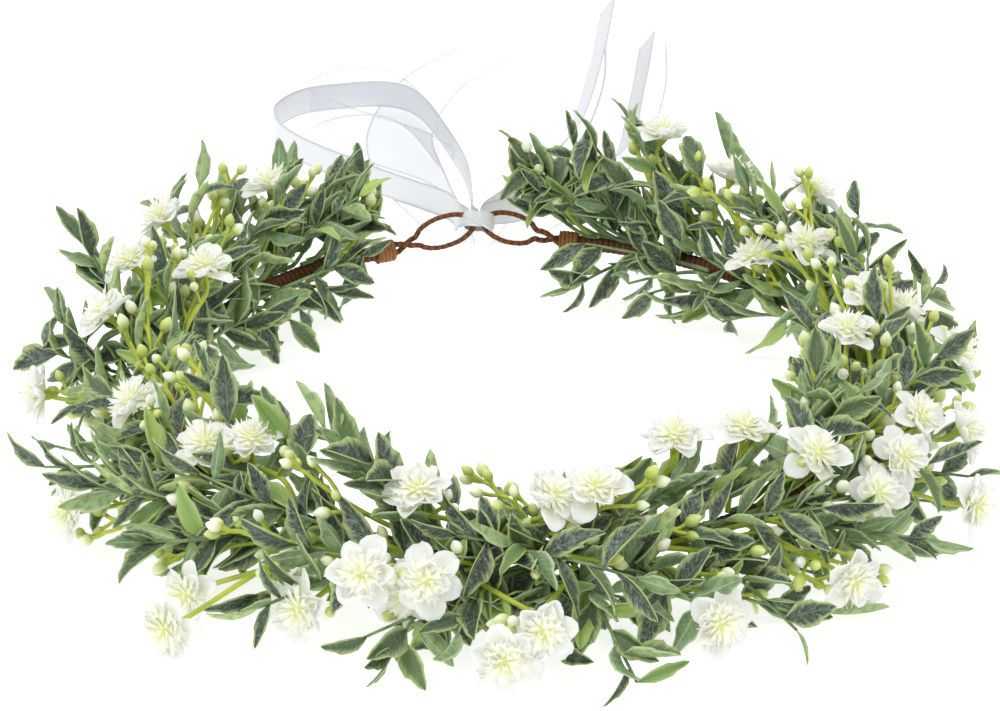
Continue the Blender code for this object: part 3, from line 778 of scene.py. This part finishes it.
def blade(name, outline, width, columns, fold, cup, curl, turn, looks, thickness, teeth=()):
    """A thin blade one unit long. It is folded up from its midrib, each row is drawn in to
    its own width, and the rows are turned and curled one after another towards the tip."""
    rows = len(outline) - 1
    made = shape(name, bpy.ops.mesh.primitive_grid_add, x_subdivisions=columns,
                 y_subdivisions=rows, size=1, location=(0, 0.5, 0))
    for column in range(columns // 2):
        pick(made, lambda place: abs(place.x) > (column + 0.5) / columns)
        bpy.ops.transform.translate(value=(0, 0, fold + cup * column))
    for row, part in enumerate(outline):
        half = width * part
        height = row / rows
        pick(made, lambda place: abs(place.y - height) < 0.01)
        bpy.ops.transform.resize(value=(2 * half, 1, 2 * half), center_override=(0, height, 0))
    for row in teeth:
        half = width * outline[row]
        height = row / rows
        pick(made, lambda place: abs(place.y - height) < 0.01 and abs(place.x) > 0.8 * half)
        bpy.ops.transform.translate(value=(0, 0.05, 0))
        bpy.ops.transform.resize(value=(1.14, 1, 1.14), center_override=(0, height, 0))
    for row in reversed(range(1, rows)):
        height = row / rows
        pick(made, lambda place: place.y > height + 0.07)
        for axis, angle in (("Y", turn), ("X", curl)):
            bpy.ops.transform.rotate(value=angle / rows, orient_axis=axis,
                                     center_override=(0, height, 0))
    coat(made, *looks)
    done(made)
    apply_modifier(made, "SOLIDIFY", thickness=thickness, offset=-1,
                   material_offset=len(looks) - 1)
    return made


def leaf_master(name, width, fold, curl, turn):
    """A pointed leaf with a short stalk and blunt teeth near its tip."""
    outline = (0.07, 0.50, 0.92, 1.0, 0.84, 0.64, 0.34, 0.02)
    return blade(name, outline, width, 4, fold, 0.02, curl, turn, (LEAF_TOP, LEAF_BACK), 0.016,
                 teeth=(4, 6))


def petal_master(name, width, cup, curl, turn):
    """A narrow claw that opens into a round, cupped blade."""
    outline = (0.20, 0.42, 0.74, 0.98, 1.0, 0.80, 0.34)
    return blade(name, outline, width, 4, cup, cup, curl, turn, (PETAL,), 0.018)


def fringe_master(name):
    """One strip of cut fringe with a split, ragged end."""
    made = blade(name, (0.04, 0.06, 0.09, 0.13), 1, 2, 0.05, 0, 0.5, 0.3, (FRINGE,), 0.03)
    pick(made, lambda place: place.x > 0.05 and place.y > 0.8)
    bpy.ops.transform.translate(value=(0.03, 0.14, 0.03))
    pick(made, lambda place: abs(place.x) < 0.05 and place.y > 0.85)
    bpy.ops.transform.translate(value=(0, -0.12, 0))
    return done(made)


def bud_master(name):
    """An oval bud one unit long on its own foot, drawn out to a small tip."""
    made = shape(name, bpy.ops.mesh.primitive_uv_sphere_add, segments=8, ring_count=7,
                 radius=0.5, location=(0, 0.5, 0), rotation=(math.radians(-90), 0, 0))
    for above, narrowing in ((-1, 0.74), (0.7, 0.85)):
        pick(made, lambda place: place.y > above)
        bpy.ops.transform.resize(value=(narrowing, 1, narrowing),
                                 center_override=(0, max(above, 0), 0))
    pick(made, lambda place: place.y > 0.99)
    bpy.ops.transform.translate(value=(0, 0.07, 0))
    done(made)
    set_values(made.data, "rise", [corner.co.y for corner in made.data.vertices])
    coat(made, BUD)
    return made


def heart_master(name):
    """A lumpy bead for the middle of a blossom."""
    made = shape(name, bpy.ops.mesh.primitive_ico_sphere_add, subdivisions=2, radius=1.0)
    for turn in (0.4, 2.3, 4.4):
        pick(made, lambda place: place.x * math.cos(turn) + place.y * math.sin(turn) > 0.8)
        bpy.ops.transform.resize(value=(1.12, 1.12, 1.3), center_override=(0, 0, 0))
    coat(done(made), FRINGE)
    return made


LEAVES = [
    leaf_master("broad_leaf", 0.20, 0.16, -0.5, 0.2),
    leaf_master("arched_leaf", 0.18, 0.12, 0.9, -0.4),
    leaf_master("slim_leaf", 0.135, 0.14, 0.3, 0.7),
    leaf_master("twisted_leaf", 0.165, 0.10, 0.5, 1.1),
    leaf_master("cupped_leaf", 0.20, 0.26, -0.2, -0.3),
]
PETALS = [
    petal_master("wide_petal", 0.41, 0.08, 0.5, 0.2),
    petal_master("rolled_petal", 0.36, 0.14, -0.5, -0.3),
    petal_master("flat_petal", 0.38, 0.05, 0.1, 0.4),
]
FRINGE_STRIP = fringe_master("fringe_strip")
BUD_SHAPE = bud_master("oval_bud")
HEART = heart_master("heart_bead")
MASTERS = LEAVES + PETALS + [FRINGE_STRIP, BUD_SHAPE, HEART]


# Leaf sprigs

FLIPPED_SHARE = 0.16
LIFT_TRIES = 5
SPRIG_STEPS = 14
heads = []


def leaf_tone(chance):
    draw = chance.random()
    if draw < 0.68:
        return chance.uniform(0.0, 0.36)
    if draw < 0.89:
        return chance.uniform(0.36, 0.66)
    return chance.uniform(0.72, 1.0)


def outside(point):
    """Beyond the crown's outline, or past the bare ends of the hoop."""
    clock = clock_of(point)
    if LEFT_END - 20 < clock < FOLIAGE_LEFT_END:
        return True
    if point.z > FOLIAGE_TOP or point.y < FOLIAGE_FRONT:
        return True
    return not FOLIAGE_LEFT < point.x < FOLIAGE_RIGHT


def blocked(point):
    return reserved(point) or outside(point)


def bare(point):
    """Where the wound hoop shows on its inner side."""
    clock = clock_of(point)
    reach = math.hypot(point.x, point.y) - HOOP_RADIUS
    before = point.z - HOOP_HEIGHT + 0.5 * reach
    hidden = reach < 3 * MM and -4 * MM < before < 10 * MM
    return hidden and any(first < clock < last for first, last in BARE_SPANS)


def on_blossom(point):
    return any((point - centre).length < BLOSSOM_SPACE for centre, _ in heads)


def set_leaf(items, place, direction, facing, length, chance):
    """Adds one leaf, lifted clear of the table, and says whether there was room for it."""
    direction = direction.normalized()
    master = chance.choice(LEAVES)
    width = chance.uniform(0.85, 1.15)
    if chance.random() < FLIPPED_SHARE:
        facing = -facing
    tone = leaf_tone(chance)
    for _ in range(LIFT_TRIES):
        matrix = frame_at(place, direction, facing, (length * width, length, length))
        lowest = min((matrix @ corner.co).z for corner in master.data.vertices)
        if lowest > TABLE_CLEARANCE:
            break
        direction = (direction + UP * (1.2 * (TABLE_CLEARANCE - lowest) / length)).normalized()
    else:
        return False
    points = [place + direction * (length * share) for share in (0.35, 0.65, 1.0)]
    for point in points:
        if blocked(point) or bare(point) or on_blossom(point):
            return False
    items.append(copy_of(master, matrix, tone))
    return True


def sprig_path(chance, clock, way, roll, length, lean, droop):
    """A stem that runs with the hoop and then leaves it, with the side it leaves on."""
    length *= MM
    droop *= MM
    path = []
    spokes = []
    root = TAPE_RADIUS + 0.7 * MM
    wander = chance.uniform(-22, 22)
    along = length * math.cos(math.radians(lean))
    lift = length * math.sin(math.radians(lean))
    for step in range(-2, SPRIG_STEPS + 1):
        share = step / SPRIG_STEPS
        rise = max(0.0, share)
        here = clock + way * math.degrees(share * along / HOOP_RADIUS)
        out = spoke(here, roll + wander * rise)
        place = around(here) + out * (root + lift * rise**1.3) - UP * (droop * rise**2)
        place.z = max(place.z, STEM_CLEARANCE)
        if step > 1 and blocked(place):
            break
        path.append(place)
        spokes.append(out)
    return path, spokes


def leaf_sprig(items, runs, chance, *course):
    """A stem that carries leaves left and right, and a single one at its tip."""
    path, spokes = sprig_path(chance, *course)
    hand = chance.choice((1, -1))
    kept = []
    last = 0
    for index in range(4, len(path)):
        ahead = (path[index] - path[index - 1]).normalized()
        out = spokes[index]
        side = ahead.cross(out).normalized()
        size = chance.uniform(13, 21) * MM * (1.1 - 0.3 * index / len(path))
        spread = chance.uniform(0.3, 1.4)
        direction = ahead * math.cos(spread) + side * (hand * math.sin(spread))
        direction += out * chance.uniform(-0.5, 0.75)
        facing = out + side * chance.uniform(-1.3, 1.3) - ahead * chance.uniform(-0.5, 0.8)
        if index == len(path) - 1:
            direction = ahead + out * 0.2
        if set_leaf(kept, path[index], direction, facing, size, chance):
            last = index
        hand = -hand
    if len(kept) > 2:
        items.extend(kept)
        runs.append((path[: last + 1], 0.75 * MM, 0.4 * MM))
    else:
        for leaf in kept:
            bpy.data.objects.remove(leaf)


# Blossoms and buds

# A ring's petals, their length in millimetres, their lean in radians and their depth.
PETAL_RINGS = ((6, 9.2, 0.12, -1.6), (4, 7.4, 0.42, -1.0))
FRINGE_STRIPS = 54
GOLDEN_TURN = 2.4


def head_place(node):
    """The centre of a blossom's solid and the direction it faces, from its own mesh."""
    corners = {tuple(round(x, 6) for x in v.co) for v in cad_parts[node].data.vertices}
    corners = [Vector(c) for c in corners]
    centre = sum(corners, Vector()) / len(corners)
    near = sorted(corners, key=lambda c: (c - centre).length)[:2]
    facing = (near[0] - near[1]).normalized()
    hub = around(clock_of(centre), height=HOOP_HEIGHT - 8 * MM)
    if facing.dot(centre - hub) < 0:
        facing = -facing
    return centre, facing


def blossom(name, centre, facing, size, chance):
    """Two rings of petals round a ball of cut fringe with a bead in its heart."""
    items = []
    side = facing.orthogonal().normalized()
    other = facing.cross(side)
    start = chance.uniform(0, 2 * math.pi)
    for count, length, lean, low in PETAL_RINGS:
        for step in range(count):
            turn = start + 2 * math.pi * (step + chance.uniform(-0.12, 0.12)) / count
            ray = between(side, other, turn)
            place = centre + ray * (0.9 * MM * size) + facing * (low * MM * size)
            lift = lean + chance.uniform(-0.25, 0.3)
            direction = between(ray, facing, lift)
            reach = length * MM * size * chance.uniform(0.9, 1.08)
            matrix = frame_at(place, direction, facing, (reach,) * 3)
            items.append(copy_of(chance.choice(PETALS), matrix))
        start += 0.6
    for step in range(FRINGE_STRIPS):
        height = 0.02 + 0.98 * (step + 0.5) / FRINGE_STRIPS
        turn = step * GOLDEN_TURN
        ray = between(side, other, turn)
        direction = ray * math.sqrt(1 - height * height) + facing * height
        place = centre + facing * (0.3 * MM * size)
        reach = chance.uniform(4.8, 7.1) * MM * size
        matrix = frame_at(place, direction, facing + ray * 0.3, (reach,) * 3)
        items.append(copy_of(FRINGE_STRIP, matrix))
    bead = Matrix.Translation(centre + facing * (0.8 * MM * size))
    items.append(copy_of(HEART, bead @ Matrix.Scale(2.0 * MM * size, 4)))
    return joined(name, items)


def set_bud(items, place, direction, length, chance):
    matrix = frame_at(place - direction * (0.3 * MM), direction, direction.orthogonal(),
                      (length,) * 3)
    items.append(copy_of(BUD_SHAPE, matrix, chance.choice((0.0, 0.15, 0.5, 0.85, 1.0))))


def bud_fork(items, runs, place, direction, reach, count, chance):
    """A stalk that splits into a few short ones, each with a bud."""
    direction = direction.normalized()
    side = direction.orthogonal().normalized()
    fork = place + direction * reach
    fork.z = max(fork.z, 4 * MM)
    if blocked(fork):
        return
    middle = place.lerp(fork, 0.5) + UP * (0.4 * MM)
    runs.append(([place, middle, fork], 0.62 * MM, 0.55 * MM))
    first_turn = chance.uniform(0, 2 * math.pi)
    for step in range(count):
        turn = first_turn + step * 2 * math.pi / count + chance.uniform(-0.4, 0.4)
        swing = Matrix.Rotation(turn, 3, direction) @ side
        course = (direction + swing * chance.uniform(0.35, 0.8)).normalized()
        start = fork if step < 2 else place.lerp(fork, chance.uniform(0.3, 0.8))
        tip = start + course * (chance.uniform(2.5, 5) * MM)
        end = tip + course * (5 * MM)
        if min(end.z, tip.z) < STEM_CLEARANCE or blocked(end):
            continue
        runs.append(([start, start.lerp(tip, 0.5) - UP * (0.2 * MM), tip], 0.5 * MM, 0.62 * MM))
        set_bud(items, tip, course, chance.uniform(3.6, 4.9) * MM, chance)


def bud_sprig(items, runs, chance, *course):
    """A yellow-green stem with forks of buds left and right and at its tip."""
    path, spokes = sprig_path(chance, *course)
    if len(path) < 9:
        return
    runs.append((path, 0.85 * MM, 0.6 * MM))
    hand = chance.choice((1, -1))
    for index in (7, 10, 13):
        if index < len(path) - 1:
            ahead = (path[index] - path[index - 1]).normalized()
            out = spokes[index]
            side = ahead.cross(out)
            direction = ahead * 0.8 + side * (hand * 0.5) + out * chance.uniform(0, 0.5)
            bud_fork(items, runs, path[index], direction, chance.uniform(4, 7) * MM,
                     chance.randint(1, 2), chance)
            hand = -hand
    bud_fork(items, runs, path[-1], path[-1] - path[-2], chance.uniform(3, 5) * MM,
             chance.randint(2, 3), chance)


def stalk(root_clock, centre, facing):
    """A stem from the hoop to the back of a blossom."""
    back = centre - facing * (2.2 * MM)
    hub = around(root_clock)
    away = back - hub
    away -= onward(root_clock) * away.dot(onward(root_clock))
    away = (away.normalized() + UP * 0.3).normalized()
    root = hub + away * (TAPE_RADIUS + 0.5 * MM)
    knots = [root, root.lerp(back, 0.35) + away * (2.5 * MM), back - facing * (6 * MM),
             back + facing * (1.0 * MM)]
    return smooth_path(knots, 5)


# The layout. A band of the hoop runs between two clock angles away from the front. It has
# its sprigs' rolls round the wire, their lean away from it, their length and droop in
# millimetres, and the degrees from one leaf sprig and from one bud sprig to the next.
LEFT_BANDS = [
    (-14, 30, (-30, 45, 0, 110, 20, 80, 150), 29, 48, 6, 4.0, 7),
    (30, 74, (-5, 40, 80, 20, 115, 60, 160), 36, 52, 10, 4.0, 6),
    (74, 112, (10, 60, 95, 30, 150, 75), 36, 50, 2, 4.0, 8),
    (112, 130, (25, 75, 165, 50, 100, 5), 38, 46, 0, 3.6, 8),
    (130, 145, (30, 75, 55, 100, 10), 40, 40, 0, 3.4, 12),
    (145, 153, (60, 95, 80, 40), 50, 26, 0, 2.6, 20),
]
RIGHT_BANDS = [
    (-14, 30, (-35, 50, -5, 110, 25, 85, 150), 29, 48, 8, 4.0, 7),
    (30, 76, (-5, 45, 85, 20, 115, 60, 160), 32, 52, 6, 4.0, 6),
    (76, 116, (20, 65, 95, 40, 130, 75), 38, 50, 0, 4.0, 9),
    (116, 146, (50, 85, 165, 30, 100, 190, 70), 46, 46, 0, 3.2, 14),
    (146, 160, (50, 85, 30, 100, 70), 48, 44, 0, 3.2, 14),
    (158, 172, (98, 112, 86, 104), 46, 38, 0, 2.2, 20),
]
# Sprigs placed one by one: the clock angle, the way they grow, their roll, length, lean
# and droop.
ACCENTS = [
    (8, 1, -5, 46, 80, 12), (-9, -1, 0, 40, 80, 12), (-3, -1, 5, 32, 80, 10),
    (15, 1, 5, 36, 70, 8), (25, 1, 0, 44, 70, 8), (-20, -1, -5, 40, 70, 10),
    (-36, -1, 0, 42, 72, 8), (-46, -1, 5, 40, 70, 6), (-60, -1, 0, 44, 65, 8),
    (-88, -1, 5, 46, 72, 0), (-94, -1, 40, 42, 70, 0), (-118, -1, 40, 46, 65, 0),
    (40, 1, 0, 42, 65, 8), (58, 1, 5, 44, 60, 6), (84, 1, 20, 44, 62, 0),
    (116, 1, 192, 36, 24, 4), (131, 1, 198, 40, 30, 5), (144, 1, 204, 38, 34, 4),
    (155, 1, 200, 32, 34, 5), (-108, -1, 194, 34, 26, 4), (-121, -1, 200, 36, 30, 5),
    (-134, -1, 204, 30, 32, 4),
]
# From this roll on, a leaf sprig grows inwards and leans less. Buds stay off that side.
INNER_ROLL = 125
INNER_LEAN = 20
LOWEST_BUD_ROLL = -10
HIGHEST_BUD_ROLL = 120
# Where the solids of the leaf sprays and the bud sprigs are, in the order of their names.
SPRAY_CLOCKS = (-10, -33, -56, -79, -102, -125, -146, 10, 33, 56, 79, 102, 125, 146)
SPRIG_CLOCKS = (-128, -99, -78, -56, -30, -13, 5, 27, 52, 102, 150)

# Blossoms that have no solid of their own: the clock angle in degrees, and the reach
# beyond the hoop and the height above the table in millimetres.
EXTRA_BLOSSOMS = [
    (-101, 15, 46), (-45, 0, 36), (-38, 38, 11), (-10, 30, 27), (-13, 24, 18), (3, 38, 18),
    (5, 7, 39), (39, -4, 42), (64, 22, 35), (69, 32, 28), (57, 24, 30), (51, 24, 25),
    (41, 35, 12), (127, -10, 33), (81, -5, 42), (95, 3, 42), (96, 13, 36), (130, 20, 45),
]


def nearest(clock, places):
    return min(places, key=lambda node: abs((clock - places[node] + 180) % 360 - 180))


def build_greenery():
    chance = random.Random(SEED)
    nodes = sorted(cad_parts)
    spray_clocks = dict(zip((n for n in nodes if n.startswith("leaf_spray")), SPRAY_CLOCKS))
    sprig_clocks = dict(zip((n for n in nodes if n.startswith("bud_sprig")), SPRIG_CLOCKS))
    sprays = {node: ([], []) for node in spray_clocks}
    sprigs = {node: ([], []) for node in sprig_clocks}
    for node in (n for n in nodes if n.startswith("blossom")):
        centre, facing = head_place(node)
        on_crown(blossom(node + "_petals", centre, facing, 1.0, chance), "petal", node)
        heads.append((centre, facing))
    for number, (clock, reach, height) in enumerate(EXTRA_BLOSSOMS, start=1):
        centre = around(clock, reach * MM, height * MM)
        facing = (outward(clock) * (reach + 6) + UP * (height - 6)
                  + onward(clock) * chance.uniform(-12, 12)).normalized()
        on_crown(blossom(f"more_petals_{number:02d}", centre, facing, 0.95, chance), "petal")
        heads.append((centre, facing))
    for clock, *course in ACCENTS:
        leaf_sprig(*sprays[nearest(clock, spray_clocks)], chance, clock, *course)
    for way, bands in ((-1, LEFT_BANDS), (1, RIGHT_BANDS)):
        for first, last, rolls, lean, length, droop, leaf_spacing, bud_spacing in bands:
            clock = first
            turn = 0
            while clock < last:
                roll = rolls[turn % len(rolls)]
                slant = lean if roll < INNER_ROLL else INNER_LEAN
                leaf_sprig(*sprays[nearest(way * clock, spray_clocks)], chance, way * clock,
                           way, roll + chance.uniform(-12, 12),
                           length * chance.uniform(0.8, 1.15),
                           slant + chance.uniform(-12, 10), droop)
                clock += leaf_spacing
                turn += 1
            clock = first + chance.uniform(0, bud_spacing)
            while clock < last:
                roll = chance.uniform(max(LOWEST_BUD_ROLL, min(rolls)), HIGHEST_BUD_ROLL)
                bud_sprig(*sprigs[nearest(way * clock, sprig_clocks)], chance, way * clock,
                          way, roll, length * chance.uniform(0.6, 0.9),
                          lean + chance.uniform(-8, 10), droop)
                clock += bud_spacing
    for centre, facing in heads:
        clock = clock_of(centre)
        way = 1 if clock > 0 else -1
        path = stalk(clock - way * chance.uniform(4, 14), centre, facing)
        buds, runs = sprigs[nearest(clock, sprig_clocks)]
        runs.append((path, 0.8 * MM, 0.65 * MM))
        runs.append((path[-3:], 0.7 * MM, 1.9 * MM))
        place = path[chance.randint(5, 9)]
        swing = facing + onward(clock) * chance.choice((-0.9, 0.9)) + UP * chance.uniform(0, 0.6)
        bud_fork(buds, runs, place, swing, chance.uniform(4, 8) * MM, chance.randint(2, 3),
                 chance)
    for node, (leaves, runs) in sprays.items():
        wood = stems(node + "_stems", runs, DARK_STEM)
        on_crown(joined(node + "_leaves", leaves + [wood]), "leaf", node)
    for node, (buds, runs) in sprigs.items():
        wood = stems(node + "_stalks", runs, STEM)
        on_crown(joined(node + "_buds", [wood] + buds), "stem", node)


# The stage


def point_at(item, target):
    item.rotation_mode = "QUATERNION"
    item.rotation_quaternion = (item.location - target).to_track_quat("Z", "Y")


def build_stage():
    floor = shape("light_table", bpy.ops.mesh.primitive_plane_add, size=6)
    coat(floor, LIGHT_TABLE)
    world = bpy.context.scene.world or bpy.data.worlds.new("studio")
    bpy.context.scene.world = world
    world.use_nodes = True
    background = world.node_tree.nodes["Background"]
    background.inputs["Color"].default_value = (1, 1, 1, 1)
    background.inputs["Strength"].default_value = 0.66
    for name, place, size, power in (("key_softbox", (-0.7, -0.5, 1.3), 0.9, 10),
                                     ("fill_softbox", (0.9, -0.3, 1.0), 1.0, 3.5),
                                     ("back_softbox", (0.1, 1.2, 1.1), 1.0, 4.5)):
        light = bpy.data.lights.new(name, "AREA")
        light.size = size
        light.energy = power
        lamp = placed(name, light)
        lamp.location = place
        point_at(lamp, UP * 0.02)


def build_camera():
    """A long lens, looking down on the crown from the front."""
    elevation = math.radians(27)
    distance = 0.9
    hub = UP * HOOP_HEIGHT
    back = Vector((0, -math.cos(elevation), math.sin(elevation)))
    lifted = Vector((0, math.sin(elevation), math.cos(elevation)))
    aim = hub + Vector((-4.65 * MM, 0, 0)) + lifted * (7.7 * MM)
    data = bpy.data.cameras.new("long_lens")
    data.lens = 111.5
    data.sensor_width = 36
    data.clip_start = 0.01
    camera = placed("long_lens", data)
    camera.location = hub + back * distance
    point_at(camera, aim)
    bpy.context.scene.camera = camera
    bpy.context.scene.view_settings.view_transform = "Standard"


build_stage()
build_camera()
build_hoop()
build_eyes()
build_knot()
build_ribbons()
build_greenery()
for master in MASTERS:
    bpy.data.objects.remove(master)
